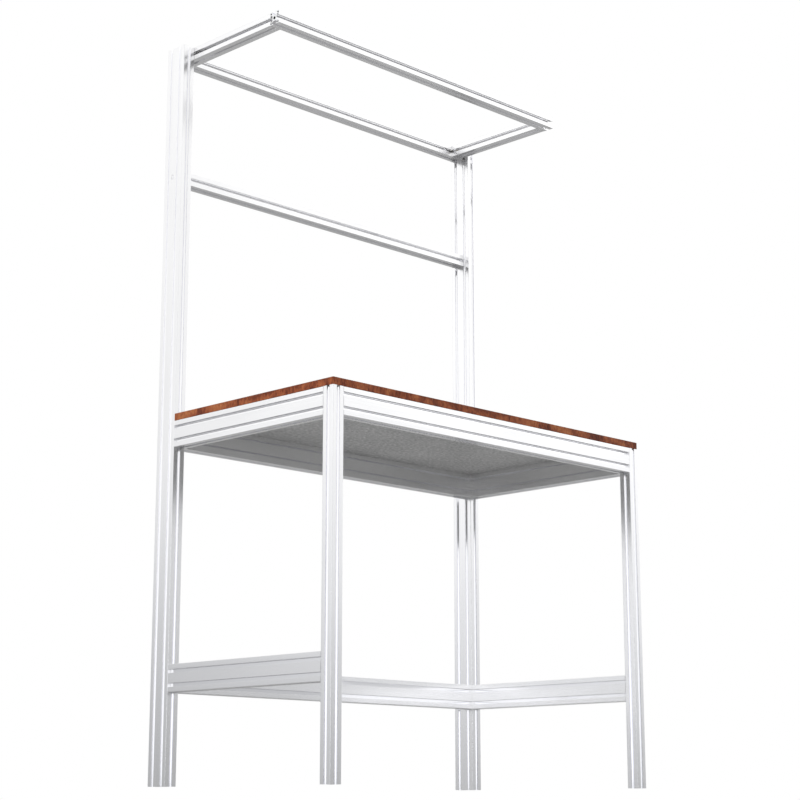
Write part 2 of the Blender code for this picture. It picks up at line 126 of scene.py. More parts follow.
class Graph:
    """Shader nodes of one material or of the world, added and linked a line at a time."""

    def __init__(self, owner: bpy.types.Material | bpy.types.World) -> None:
        """Take over the owner's nodes.

        Args:
            owner: the material or the world.
        """
        owner.use_nodes = True
        self.tree = owner.node_tree
        self.shader = self.tree.nodes.get("Principled BSDF")

    def node(self, kind: str, inputs: dict | None = None, **settings: object) -> bpy.types.Node:
        """Add a node.

        Args:
            kind: the node's type name, without the ShaderNode that begins it.
            inputs: a value or an output socket for each input, by name or number.
            settings: the node's own properties.

        Returns:
            The new node.
        """
        made = self.tree.nodes.new("ShaderNode" + kind)
        for key, value in settings.items():
            setattr(made, key, value)
        for key, value in (inputs or {}).items():
            self.feed(made.inputs[key], value)
        return made

    def feed(self, socket: Socket, value: object) -> None:
        """Link an output to a socket, or set the socket's own value.

        Args:
            socket: the input socket.
            value: an output socket, a number, a vector or a colour.
        """
        if isinstance(value, Socket):
            self.tree.links.new(value, socket)
        elif socket.type == "RGBA":
            socket.default_value = (*value, 1.0)
        else:
            socket.default_value = value

    def places(self) -> Socket:
        """Place of each point on the object's own axes."""
        return self.node("TexCoord").outputs["Object"]

    def scaled(self, scale: Triple, lean: float = 0.0) -> Socket:
        """Places in cycles per metre along each axis, turned by a lean about the Y axis."""
        inputs = {"Vector": self.places(), "Scale": scale, "Rotation": (0, lean, 0)}
        return self.node("Mapping", inputs).outputs["Vector"]

    def noise(self, pattern: Pattern) -> Socket:
        """Lay out a noise pattern.

        Args:
            pattern: the pattern.

        Returns:
            Its value at each place, from 0 to 1.
        """
        inputs = {"Vector": self.scaled(pattern.scale, pattern.lean), "Scale": 1.0,
                  "Detail": pattern.detail, "Roughness": pattern.roughness,
                  "Distortion": pattern.warp}
        return self.node("TexNoise", inputs).outputs["Fac"]

    def ramp(self, value: Socket, stops: Tones) -> Socket:
        """Pick colours from a row of stops.

        Args:
            value: what picks them, from 0 to 1.
            stops: each stop's place and colour.

        Returns:
            The picked colour.
        """
        made = self.node("ValToRGB", {"Fac": value})
        band = made.color_ramp
        while len(band.elements) < len(stops):
            band.elements.new(1.0)
        for element, (place, colour) in zip(band.elements, stops):
            element.position = place
            element.color = (*colour, 1.0)
        return made.outputs["Color"]

    def mixed(self, share: object, first: object, second: object, blend: str = "MIX") -> Socket:
        """Colour between two colours, or one laid over the other.

        Args:
            share: how much of the second shows.
            first: the colour beneath.
            second: the colour on top.
            blend: how the second is laid on.

        Returns:
            The mixed colour.
        """
        inputs = {MIX_SHARE: share, MIX_FIRST: first, MIX_SECOND: second}
        made = self.node("Mix", inputs, data_type="RGBA", blend_type=blend)
        return made.outputs[MIX_RESULT]

    def spread(self, value: Socket, start: Span, goal: Span = (0.0, 1.0)) -> Socket:
        """Move a value from one range to another, and hold it inside that.

        Args:
            value: the value.
            start: the range that it comes from.
            goal: the range that it is moved to.

        Returns:
            The moved value.
        """
        inputs = {"Value": value, "From Min": start[0], "From Max": start[1],
                  "To Min": goal[0], "To Max": goal[1]}
        return self.node("MapRange", inputs).outputs["Result"]

    def maths(self, operation: str, first: object, second: object = 0.0,
              third: object = 0.0) -> Socket:
        """Result of a sum on up to three values."""
        inputs = {0: first, 1: second, 2: third}
        return self.node("Math", inputs, operation=operation).outputs[0]

    def between(self, share: Socket, first: Socket, second: object) -> Socket:
        """Value that lies a share of the way from the first value to the second."""
        return self.maths("MULTIPLY_ADD", share, self.maths("SUBTRACT", second, first), first)

    def weighed(self, share: float, first: Socket, second: Socket) -> Socket:
        """Sum of two values, the first by its share and the second by the rest."""
        rest = self.maths("MULTIPLY", second, 1.0 - share)
        return self.maths("MULTIPLY_ADD", first, share, rest)

    def length_of(self, vector: Socket) -> Socket:
        """Length of a vector."""
        return self.node("VectorMath", {0: vector}, operation="LENGTH").outputs["Value"]

    def by_height(self, height: Socket, stops: Stops) -> Socket:
        """Pick levels from a row of heights and levels.

        Args:
            height: what picks them.
            stops: each stop's height and level, from the lowest up.

        Returns:
            The picked level.
        """
        low, high = stops[0][0], stops[-1][0]
        tones = tuple(((place - low) / (high - low), (level,) * 3) for place, level in stops)
        return self.ramp(self.spread(height, (low, high)), tones)

    def straight_off_metal(self) -> Socket:
        """Pick out the rays that come from metal and have met nothing matt.

        Returns:
            1 for such a ray, or else 0.
        """
        rays = self.node("LightPath").outputs
        unscattered = self.maths("LESS_THAN", rays["Diffuse Depth"], 1.0)
        return self.maths("MULTIPLY", rays["Is Glossy Ray"], unscattered)

    def either(self, share: Socket, first: Socket, second: Socket) -> Socket:
        """Shader between two shaders, with a share of the second."""
        return self.node("MixShader", {0: share, 1: first, 2: second}).outputs[0]

    def surface(self, **values: object) -> None:
        """Set or link the shader's own inputs, with underscores for the spaces in their names."""
        for key, value in values.items():
            self.feed(self.shader.inputs[key.replace("_", " ")], value)


@dataclass(frozen=True)
class Finish:
    """What every finish has: its name, the record's slot that it stands for, gloss and relief.

    Its roughness goes from the first value, where its noise is low, to the second.
    """

    name: str
    slot: str
    roughness: Span
    relief_height: float
    relief_strength: float = 0.3
    noise_span: Span = MOST_NOISE
    metal: float = 0.0
    shine: float = 0.5

    @functools.cache
    def material(self) -> bpy.types.Material:
        """Draw the finish's material the first time that it is asked for.

        Returns:
            The material, the same one each time.
        """
        made = bpy.data.materials.new(self.name)
        self.draw(Graph(made))
        return made

    def draw(self, graph: Graph) -> None:
        """Lay out the finish's nodes in a graph."""
        raise NotImplementedError

    def coat(self, graph: Graph, colour: Socket, noise: Socket, height: Socket) -> None:
        """Give the surface its colour, gloss and relief.

        Args:
            graph: the material's nodes.
            colour: its colour.
            noise: the noise that its roughness follows.
            height: how far each place is raised, from 0 to 1.
        """
        raised = {"Height": height, "Distance": self.relief_height,
                  "Strength": self.relief_strength}
        graph.surface(Base_Color=colour, Metallic=self.metal, Specular_IOR_Level=self.shine,
                      Roughness=graph.spread(noise, self.noise_span, self.roughness),
                      Normal=graph.node("Bump", raised).outputs["Normal"])


@dataclass(frozen=True)
class AnodisedAluminium(Finish):
    """Clear anodised extrusion: near-white metal with faint lines drawn along its length."""

    name: str = "clear_anodised_face"
    slot: str = "anodised_aluminium"
    pale: Colour = (0.979, 0.979, 0.985)
    dull: Colour = (0.945, 0.945, 0.952)
    lines: Pattern = Pattern((900.0, 900.0, 2.5), 4.0, 0.6)
    clouds: Pattern = Pattern((14.0, 14.0, 3.0))
    line_share: float = 0.5
    roughness: Span = (0.28, 0.22)
    relief_height: float = 0.012 * MM
    relief_strength: float = 0.25
    metal: float = 1.0

    def draw(self, graph: Graph) -> None:
        """Lay out drawn lines, slow clouds of gloss and a fine relief.

        Args:
            graph: the material's nodes.
        """
        lines = graph.noise(self.lines)
        both = graph.weighed(self.line_share, lines, graph.noise(self.clouds))
        colour = graph.mixed(graph.spread(both, MIDDLE_NOISE), self.dull, self.pale)
        self.coat(graph, colour, both, lines)


@dataclass(frozen=True)
class SlotAluminium(AnodisedAluminium):
    """The same metal inside the slots and hollows, glossier because nothing rubs on it."""

    name: str = "clear_anodised_slot"
    pale: Colour = (0.992, 0.992, 1.0)
    dull: Colour = (0.976, 0.976, 0.987)
    roughness: Span = (0.13, 0.08)


@dataclass(frozen=True)
class SawnAluminium(Finish):
    """Cut end of a profile: bare metal with the arcs of the saw blade."""

    name: str = "sawn_aluminium"
    slot: str = "anodised_aluminium"
    bright: Colour = (0.95, 0.955, 0.96)
    dark: Colour = (0.80, 0.81, 0.825)
    wobble: Pattern = Pattern((120.0, 120.0, 120.0))
    blade_radius: float = 0.150
    cut_plane: Triple = (1.0, 1.0, 0.0)
    mark_pitch: float = 0.7 * MM
    roughness: Span = (0.28, 0.42)
    relief_height: float = 0.02 * MM
    relief_strength: float = 0.4
    metal: float = 1.0

    def draw(self, graph: Graph) -> None:
        """Lay out arcs about the blade's centre, broken by a little noise.

        Args:
            graph: the material's nodes.
        """
        blade = {0: graph.places(), 1: (self.blade_radius, 0.0, 0.0)}
        moved = graph.node("VectorMath", blade, operation="ADD").outputs[0]
        plane = {0: moved, 1: self.cut_plane}
        flat = graph.node("VectorMath", plane, operation="MULTIPLY").outputs[0]
        wobble = graph.noise(self.wobble)
        turns = graph.maths("MULTIPLY", graph.length_of(flat), 1.0 / self.mark_pitch)
        phase = graph.maths("MULTIPLY", graph.maths("ADD", turns, wobble), math.tau)
        marks = graph.spread(graph.maths("SINE", phase), (-1.0, 1.0))
        self.coat(graph, graph.mixed(marks, self.dark, self.bright), wobble, marks)


@dataclass(frozen=True)
class CherryWood(Finish):
    """Reddish-brown wood: broad light and dark stretches under fine, slightly leaning grain."""

    name: str = "cherry_edge_strip"
    slot: str = "cherry_wood_band"
    stretches: Pattern = Pattern((17.0, 17.0, 20.0), 4.0, 0.55, 0.6, GRAIN_LEAN)
    grain: Pattern = Pattern((150.0, 150.0, 55.0), 6.0, 0.66, 0.8, GRAIN_LEAN)
    pores: Pattern = Pattern((700.0, 700.0, 130.0), lean=GRAIN_LEAN)
    stretch_share: float = 0.6
    tones: Tones = ((0.34, (0.085, 0.014, 0.005)), (0.44, (0.170, 0.036, 0.012)),
                    (0.52, (0.315, 0.082, 0.028)), (0.64, (0.460, 0.160, 0.055)))
    pore_span: Span = (0.34, 0.46)
    pore_shades: Span = (0.55, 1.0)
    roughness: Span = (0.52, 0.36)
    noise_span: Span = (0.35, 0.6)
    relief_height: float = 0.06 * MM
    relief_strength: float = 0.35
    shine: float = 0.2

    def draw(self, graph: Graph) -> None:
        """Lay out stretches, grain and pores, each finer than the last.

        Args:
            graph: the material's nodes.
        """
        stretches, grain, pores = map(graph.noise, (self.stretches, self.grain, self.pores))
        colour = graph.ramp(graph.weighed(self.stretch_share, stretches, grain), self.tones)
        pore_shade = graph.spread(pores, self.pore_span, self.pore_shades)
        colour = graph.mixed(1.0, colour, pore_shade, "MULTIPLY")
        self.coat(graph, colour, pores, pore_shade)


@dataclass(frozen=True)
class GreyLaminate(Finish):
    """Grey laminate on both faces of the tabletop, speckled light and dark."""

    name: str = "speckled_grey_laminate"
    slot: str = "grey_laminate"
    specks: Pattern = Pattern((130.0, 130.0, 130.0), 3.0, 0.65)
    grit: Pattern = Pattern((600.0, 600.0, 600.0))
    clouds: Pattern = Pattern((9.0, 9.0, 9.0))
    grit_change: Span = (-0.06, 0.06)
    cloud_change: Span = (-0.03, 0.03)
    tones: Tones = ((0.33, (0.227, 0.227, 0.227)), (0.50, (0.375, 0.375, 0.374)),
                    (0.68, (0.545, 0.545, 0.542)))
    roughness: Span = (0.55, 0.75)
    relief_height: float = 0.10 * MM

    def draw(self, graph: Graph) -> None:
        """Lay out specks over slow clouds, with grit between them.

        Args:
            graph: the material's nodes.
        """
        specks = tone = graph.noise(self.specks)
        for pattern, change in ((self.grit, self.grit_change), (self.clouds, self.cloud_change)):
            tone = graph.maths("ADD", tone, graph.spread(graph.noise(pattern), MOST_NOISE, change))
        self.coat(graph, graph.ramp(tone, self.tones), specks, specks)


@dataclass(frozen=True)
class Chipboard(Finish):
    """Raw board that shows only in the bores and at the gaps beside the bands."""

    name: str = "raw_chipboard"
    slot: str = "chipboard"
    chip_scale: Triple = (240.0, 240.0, 700.0)
    fibres: Pattern = Pattern((900.0, 900.0, 1800.0), 3.0)
    fibre_share: float = 0.3
    tones: Tones = ((0.2, (0.26, 0.17, 0.09)), (0.5, (0.52, 0.38, 0.22)), (0.8, (0.70, 0.56, 0.37)))
    roughness: Span = (0.75, 0.95)
    relief_height: float = 0.15 * MM
    relief_strength: float = 0.5

    def draw(self, graph: Graph) -> None:
        """Lay out flat chips of mixed shades.

        Args:
            graph: the material's nodes.
        """
        chips = {"Vector": graph.scaled(self.chip_scale), "Scale": 1.0}
        cells = graph.node("TexVoronoi", chips).outputs["Color"]
        shade = graph.node("SeparateColor", {"Color": cells}).outputs[0]
        fibres = graph.noise(self.fibres)
        colour = graph.ramp(graph.mixed(self.fibre_share, shade, fibres), self.tones)
        self.coat(graph, colour, fibres, shade)


@dataclass(frozen=True)
class ZincSteel(Finish):
    """Zinc-plated screws and nuts: dull bright metal with a faint yellow and blue bloom."""

    name: str = "zinc_plated_steel_fixing"
    slot: str = "zinc_plated_steel"
    cool: Colour = (0.66, 0.68, 0.72)
    warm: Colour = (0.74, 0.71, 0.62)
    bloom: Pattern = Pattern((170.0, 170.0, 170.0))
    grit: Pattern = Pattern((2200.0, 2200.0, 2200.0))
    roughness: Span = (0.26, 0.40)
    relief_height: float = 0.01 * MM
    metal: float = 1.0

    def draw(self, graph: Graph) -> None:
        """Lay out a bloom of two tints and fine grit.

        Args:
            graph: the material's nodes.
        """
        bloom, grit = graph.noise(self.bloom), graph.noise(self.grit)
        tint = graph.mixed(graph.spread(bloom, MIDDLE_NOISE), self.cool, self.warm)
        self.coat(graph, tint, grit, grit)


@dataclass(frozen=True)
class MouldedPlastic(Finish):
    """Light grey plug: moulded plastic with a fine spark-eroded grain."""

    name: str = "moulded_grey_plastic"
    slot: str = "light_grey_plastic"
    light: Colour = (0.89, 0.89, 0.90)
    dark: Colour = (0.83, 0.83, 0.84)
    grain: Pattern = Pattern((1500.0, 1500.0, 1500.0))
    roughness: Span = (0.42, 0.55)
    relief_height: float = 0.02 * MM

    def draw(self, graph: Graph) -> None:
        """Lay out the grain in colour, gloss and relief.

        Args:
            graph: the material's nodes.
        """
        grain = graph.noise(self.grain)
        colour = graph.mixed(graph.spread(grain, MOST_NOISE), self.dark, self.light)
        self.coat(graph, colour, grain, grain)


def fillet(before: Vector, corner: Vector, after: Vector, radius: float, steps: int) -> Loop:
    """Round one corner of a flat outline.

    Args:
        before: the outline's point before the corner.
        corner: the corner itself.
        after: the outline's point after it.
        radius: the arc's radius, or 0 for a sharp corner.
        steps: how many chords the arc has.

    Returns:
        The arc's points, or the corner alone.
    """
    if not radius:
        return [corner]
    back, onward = (before - corner).normalized(), (after - corner).normalized()
    half = back.angle(onward) / 2
    centre = corner + (back + onward).normalized() * radius / math.sin(half)
    setback = radius / math.tan(half)
    start, end = corner + back * setback - centre, corner + onward * setback - centre
    sweep = math.atan2(start.x * end.y - start.y * end.x, start.dot(end))
    return [centre + Matrix.Rotation(sweep * step / steps, 2) @ start for step in range(steps + 1)]


def rounded(corners: list[Corner], steps: int) -> Loop:
    """Draw an outline through corners that each have a radius of their own.

    Args:
        corners: each corner with its radius, in order round the outline.
        steps: how many chords each arc has.

    Returns:
        The outline's points.
    """
    points: Loop = []
    for index, (corner, radius) in enumerate(corners):
        before, after = corners[index - 1][0], corners[(index + 1) % len(corners)][0]
        points += fillet(before, corner, after, radius, steps)
    return points


def circle(radius: float, sides: int, centre: Vector) -> Loop:
    """Points of a circle about a centre."""
    spoke = Vector((radius, 0))
    return [centre + Matrix.Rotation(math.tau * k / sides, 2) @ spoke for k in range(sides)]


def added(name: str, data: bpy.types.ID) -> Thing:
    """Add an object to the scene.

    Args:
        name: the object's name.
        data: its mesh, curve, lamp or camera.

    Returns:
        The new object.
    """
    thing = bpy.data.objects.new(name, data)
    bpy.context.scene.collection.objects.link(thing)
    return thing


def evaluated(thing: Thing) -> Mesh:
    """New mesh of an object with its modifiers applied."""
    applied = thing.evaluated_get(bpy.context.evaluated_depsgraph_get())
    return bpy.data.meshes.new_from_object(applied)


def worked(mesh: Mesh, kind: str, **settings: object) -> Mesh:
    """New mesh of a mesh with one modifier applied.

    Args:
        mesh: the mesh to work on.
        kind: the modifier's type.
        settings: the modifier's own properties.

    Returns:
        The worked mesh.
    """
    thing = added(mesh.name, mesh)
    modifier = thing.modifiers.new(kind.lower(), kind)
    for key, value in settings.items():
        setattr(modifier, key, value)
    made = evaluated(thing)
    bpy.data.objects.remove(thing)
    return made


def extruded(name: str, loops: list[Loop], length: float) -> Mesh:
    """Mesh of a filled outline, extruded evenly to both sides of its plane.

    Args:
        name: the mesh's name.
        loops: the outer outline first, then the holes.
        length: how far the solid runs along Z.

    Returns:
        The closed mesh.
    """
    curve = bpy.data.curves.new(name, "CURVE")
    curve.dimensions = "2D"
    curve.fill_mode = "BOTH"
    curve.extrude = length / 2
    for loop in loops:
        spline = curve.splines.new("POLY")
        spline.points.add(len(loop) - 1)
        for point, place in zip(spline.points, loop):
            point.co = (place.x, place.y, 0.0, 1.0)
        spline.use_cyclic_u = True
    drawn = added(name, curve)
    mesh = evaluated(drawn)
    bpy.data.objects.remove(drawn)
    bpy.data.curves.remove(curve)
    return tidied(mesh)


def turned(name: str, profile: list[Span], sides: int) -> Mesh:
    """Mesh of a profile turned about Z.

    Args:
        name: the mesh's name.
        profile: each point's radius and height, from the axis round to the axis.
        sides: how many sides the turned shape has.

    Returns:
        The closed mesh.
    """
    outline = bpy.data.meshes.new(name)
    points = [(radius, 0.0, height) for radius, height in profile]
    outline.from_pydata(points, [(k, k + 1) for k in range(len(points) - 1)], [])
    return tidied(worked(outline, "SCREW", steps=sides, render_steps=sides,
                         use_merge_vertices=True, merge_threshold=WELD_REACH))


def tidied(mesh: Mesh) -> Mesh:
    """Weld a mesh's seams, turn its faces outwards, and shade its arcs smooth and its flats flat.

    Args:
        mesh: the mesh to tidy.

    Returns:
        The tidied mesh.
    """
    shape = bmesh.new()
    shape.from_mesh(mesh)
    bmesh.ops.remove_doubles(shape, verts=shape.verts, dist=WELD_REACH)
    bmesh.ops.recalc_face_normals(shape, faces=shape.faces)
    shape.to_mesh(mesh)
    shape.free()
    mesh.shade_smooth()
    mesh.set_sharp_from_angle(angle=ROUND_SHADE_ANGLE)
    return worked(mesh, "WEIGHTED_NORMAL", keep_sharp=True, weight=FACE_WEIGHT)


def bored(mesh: Mesh, cutter_mesh: Mesh, place: Matrix) -> Mesh:
    """Cut a bore out of a mesh.

    Args:
        mesh: the solid that is cut.
        cutter_mesh: the bore's own shape.
        place: the bore's place in the solid's own frame.

    Returns:
        The cut mesh.
    """
    solid, cutter = added("solid", mesh), added("bore", cutter_mesh)
    cutter.matrix_world = place
    modifier = solid.modifiers.new("bore", "BOOLEAN")
    modifier.operation = "DIFFERENCE"
    modifier.solver = "EXACT"
    modifier.object = cutter
    cut = evaluated(solid)
    for thing in (solid, cutter):
        bpy.data.objects.remove(thing)
    return tidied(cut)


def placed(name: str, mesh: Mesh, place: Matrix, finish: Finish, *nodes: str) -> Thing:
    """Add a piece that rides with the table.

    Args:
        name: the piece's name.
        mesh: its mesh in its own frame.
        place: its place in the table's frame.
        finish: the finish of its first material.
        nodes: the frame's nodes that it stands for.

    Returns:
        The new piece.
    """
    piece = added(name, mesh)
    if not mesh.materials:
        mesh.materials.append(finish.material())
    piece.matrix_world = place
    if nodes:
        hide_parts(*nodes)
    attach(piece, BODY)
    LOG.info("%s: %d faces, %s", name, len(mesh.polygons), finish.name)
    return piece


def dressed(node: str, finish: Finish) -> Thing:
    """Give one of the frame's own nodes its finish.

    Args:
        node: the frame's node.
        finish: its finish.

    Returns:
        The dressed node's object.
    """
    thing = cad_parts[node]
    thing.data.materials.clear()
    thing.data.materials.append(finish.material())
    LOG.info("%s: kept, %s", node, finish.name)
    return thing


def middle_of(node: str) -> Vector:
    """Middle of a node's box."""
    low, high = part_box(node)
    return (low + high) / 2


def hand(node: str) -> int:
    """1 for a piece on the table's right side, or -1 for one on its left."""
    return 1 if node.endswith("right") else -1


@dataclass(frozen=True)
class Section:
    """Cross-section of the slotted profile, one cell wide and one or two cells deep."""

    module: float = 30.0 * MM
    corner_radius: float = 0.8 * MM
    slot_mouth: float = 8.2 * MM
    slot_lip: float = 2.0 * MM
    slot_head: float = 16.5 * MM
    slot_shoulder: float = 4.8 * MM
    slot_floor: float = 9.4 * MM
    slot_depth: float = 8.0 * MM
    mouth_radius: float = 0.25 * MM
    lip_radius: float = 0.15 * MM
    inner_radius: float = 0.15 * MM
    bore_radius: float = 3.5 * MM
    pocket_near: float = 9.75 * MM
    pocket_far: float = 13.35 * MM
    pocket_radius: float = 0.7 * MM
    chamber_width: float = 25.0 * MM
    chamber_depth: float = 8.8 * MM
    chamber_radius: float = 1.2 * MM
    arc_steps: int = 4
    bore_sides: int = 32

    def slot_corners(self, centre: Vector, along: Vector, inward: Vector) -> list[Corner]:
        """Corners of one slot, walked along its side of the profile.

        Args:
            centre: the middle of the slot's mouth.
            along: the way that the side is walked.
            inward: the way into the profile.

        Returns:
            Each corner with its radius.
        """
        shape = [(-self.slot_mouth / 2, 0.0, self.mouth_radius),
                 (-self.slot_mouth / 2, self.slot_lip, self.lip_radius),
                 (-self.slot_head / 2, self.slot_lip, self.inner_radius),
                 (-self.slot_head / 2, self.slot_shoulder, self.inner_radius),
                 (-self.slot_floor / 2, self.slot_depth, self.inner_radius)]
        mirrored = [(-a, d, r) for a, d, r in reversed(shape)]
        return [(centre + a * along + d * inward, r) for a, d, r in shape + mirrored]

    def outer(self, cells: int) -> Loop:
        """Draw the outer outline, with its slots.

        Args:
            cells: how many cells deep the profile is.

        Returns:
            The outline's points.
        """
        wide, deep = self.module / 2, cells * self.module / 2
        right, up = Vector((1.0, 0.0)), Vector((0.0, 1.0))
        sides = (((-wide, -deep), right, up, 1), ((wide, -deep), up, -right, cells),
                 ((wide, deep), -right, -up, 1), ((-wide, deep), -up, right, cells))
        corners = []
        for start, along, inward, count in sides:
            corner = Vector(start)
            corners.append((corner, self.corner_radius))
            for cell in range(count):
                centre = corner + (cell + 0.5) * self.module * along
                corners += self.slot_corners(centre, along, inward)
        return rounded(corners, self.arc_steps)

    def rectangle(self, low: Vector, high: Vector, radius: float) -> Loop:
        """Rectangle with rounded corners."""
        corners = [low, Vector((high.x, low.y)), high, Vector((low.x, high.y))]
        return rounded([(corner, radius) for corner in corners], self.arc_steps)

    def pockets(self, cells: int) -> list[Loop]:
        """Draw the hollow pockets in the profile's four corners.

        Args:
            cells: how many cells deep the profile is.

        Returns:
            One outline for each pocket.
        """
        near, far = self.pocket_near, self.pocket_far
        past = (cells - 1) * self.module / 2
        loops = []
        for x_sign in (-1, 1):
            for y_sign in (-1, 1):
                x_ends = sorted((x_sign * near, x_sign * far))
                y_ends = sorted((y_sign * (near + past), y_sign * (far + past)))
                low, high = map(Vector, zip(x_ends, y_ends))
                loops.append(self.rectangle(low, high, self.pocket_radius))
        return loops

    def loops(self, cells: int) -> list[Loop]:
        """Draw every outline of the section.

        Args:
            cells: how many cells deep the profile is.

        Returns:
            The outer outline, then the core bores, the corner pockets and the inner chambers.
        """
        first = -(cells - 1) * self.module / 2
        bores = [circle(self.bore_radius, self.bore_sides, Vector((0.0, first + k * self.module)))
                 for k in range(cells)]
        half = Vector((self.chamber_width, self.chamber_depth)) / 2
        chambers = []
        for k in range(cells - 1):
            centre = Vector((0.0, first + (k + 0.5) * self.module))
            chambers.append(self.rectangle(centre - half, centre + half, self.chamber_radius))
        return [self.outer(cells), *bores, *self.pockets(cells), *chambers]


@dataclass
class Profiles:
    """Every length of slotted profile: legs, posts, aprons, stretchers, rail and overhead frame.

    Each row of runs has a stem and endings of node names, a way and a number of cells.
    """

    section: Section = field(default_factory=Section)
    face_finish: Finish = field(default_factory=AnodisedAluminium)
    slot_finish: Finish = field(default_factory=SlotAluminium)
    cut_finish: Finish = field(default_factory=SawnAluminium)
    end_reach: float = 0.1 * MM
    end_slant: float = 0.9
    rail_bore_radius: float = 5.9 * MM
    rail_seat: float = 3.0 * MM
    arm_bore_radius: float = 3.3 * MM
    bore_sides: int = 40
    runs: tuple[tuple[str, tuple[str, ...], Way, int], ...] = (
        ("leg_front", SIDES, Way.UPRIGHT, 1),
        ("post_rear", SIDES, Way.UPRIGHT, 2),
        ("apron", SIDES, Way.LENGTHWISE, 2),
        ("stretcher", SIDES, Way.LENGTHWISE, 2),
        ("apron", ENDS, Way.ACROSS, 2),
        ("stretcher", ("rear",), Way.ACROSS, 2),
        ("top_frame_arm", SIDES, Way.LENGTHWISE, 1),
        ("middle", ("rail",), Way.ACROSS, 1),
        ("top_frame", ("front_beam", "rear_beam"), Way.ACROSS, 1))

    def build(self) -> None:
        """Draw each profile over the frame's plain one."""
        for stem, parts, way, cells in self.runs:
            for part in parts:
                self.one(f"{stem}_{part}", way, cells)

    def one(self, node: str, way: Way, cells: int) -> Thing:
        """Build one profile.

        Args:
            node: the frame's node that it stands for.
            way: which way it runs.
            cells: how many cells its section has.

        Returns:
            The new piece.
        """
        low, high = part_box(node)
        length = (high - low)[way.length_axis()]
        mesh = extruded(node + "_profile", self.section.loops(cells), length)
        place = Matrix.Translation((low + high) / 2) @ way.turn()
        mesh = self.with_bores(node, mesh, place)
        self.finished(mesh, cells, length)
        return placed(node + "_profile", mesh, place, self.face_finish, node)

    def finished(self, mesh: Mesh, cells: int, length: float) -> None:
        """Give the faces, the slots and hollows, and the sawn ends each their own finish.

        Args:
            mesh: the profile's mesh, in its own frame.
            cells: how many cells its section has.
            length: how long it is.
        """
        mesh.materials.clear()
        for finish in (self.face_finish, self.slot_finish, self.cut_finish):
            mesh.materials.append(finish.material())
        wide, deep = self.section.module / 2, cells * self.section.module / 2
        skin_depth = self.section.corner_radius / 2
        for face in mesh.polygons:
            middle, skin = face.center, Skin.FACE
            if min(wide - abs(middle.x), deep - abs(middle.y)) > skin_depth:
                skin = Skin.SLOT
            at_end = abs(abs(middle.z) - length / 2) < self.end_reach
            if at_end and abs(face.normal.z) > self.end_slant:
                skin = Skin.END
            face.material_index = skin.value

    def with_bores(self, node: str, mesh: Mesh, place: Matrix) -> Mesh:
        """Cut the cross bores that a post or an arm has for its screws.

        Args:
            node: the frame's node that the profile stands for.
            mesh: the profile's mesh, in its own frame.
            place: the profile's place in the table's frame.

        Returns:
            The cut mesh, or the same one if it has no bores.
        """
        side = hand(node)
        if node.startswith("post"):
            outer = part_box(node)[0 if side < 0 else 1].x
            rail = middle_of("middle_rail")
            depth = self.section.module - self.rail_seat
            centre = Vector((outer - side * depth / 2, rail.y, rail.z))
            spare = self.section.slot_lip
            return self.cross_bore(mesh, place, centre + Vector((side * spare / 2, 0, 0)),
                                   self.rail_bore_radius, depth + spare)
        if node.startswith("top_frame_arm"):
            bolt = middle_of(node.replace("top_frame_arm", "bolt_top_frame_arm"))
            centre = Vector((middle_of(node).x, bolt.y, bolt.z))
            through = 2 * self.section.module
            return self.cross_bore(mesh, place, centre, self.arm_bore_radius, through)
        return mesh

    def cross_bore(self, mesh: Mesh, place: Matrix, centre: Vector, radius: float,
                   length: float) -> Mesh:
        """Cut one round bore along the table's X axis.

        Args:
            mesh: the profile's mesh, in its own frame.
            place: the profile's place in the table's frame.
            centre: the bore's middle in the table's frame.
            radius: the bore's radius.
            length: the bore's length.

        Returns:
            The cut mesh.
        """
        half = length / 2
        profile = [(0, half), (radius, half), (radius, -half), (0, -half)]
        cutter = turned("cross_bore", profile, self.bore_sides)
        across = Matrix.Translation(centre) @ Matrix.Rotation(QUARTER_TURN, 4, "Y")
        return bored(mesh, cutter, place.inverted() @ across)


@dataclass
class Tabletop:
    """The board: chipboard core, grey laminate on both faces and four wood bands."""

    core_finish: Finish = field(default_factory=Chipboard)
    sheet_finish: Finish = field(default_factory=GreyLaminate)
    band_finish: Finish = field(default_factory=CherryWood)
    band_radius: float = 0.7 * MM
    band_steps: int = 3

    def build(self) -> None:
        """Dress the layers and lay the rounded bands over the plain ones."""
        dressed("tabletop_core", self.core_finish)
        for sheet in ("tabletop_top_laminate", "tabletop_under_laminate"):
            dressed(sheet, self.sheet_finish)
        for edge in ENDS:
            self.band(f"edge_band_{edge}", 0.0)
        for edge in SIDES:
            self.band(f"edge_band_{edge}", QUARTER_TURN)

    def band(self, node: str, turn: float) -> Thing:
        """Build one wood band with rounded edges.

        Args:
            node: the frame's node that it stands for.
            turn: its angle about Z, with its own X along its length.

        Returns:
            The new piece.
        """
        low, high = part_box(node)
        size = high - low
        extent = Vector((max(size.x, size.y), min(size.x, size.y), size.z))
        shape = bmesh.new()
        bmesh.ops.create_cube(shape, size=1)
        bmesh.ops.scale(shape, verts=shape.verts, vec=extent)
        mesh = bpy.data.meshes.new(node + "_strip")
        shape.to_mesh(mesh)
        shape.free()
        strip = tidied(worked(mesh, "BEVEL", width=self.band_radius, segments=self.band_steps))
        place = Matrix.Translation((low + high) / 2) @ Matrix.Rotation(turn, 4, "Z")
        return placed(node + "_strip", strip, place, self.band_finish, node)


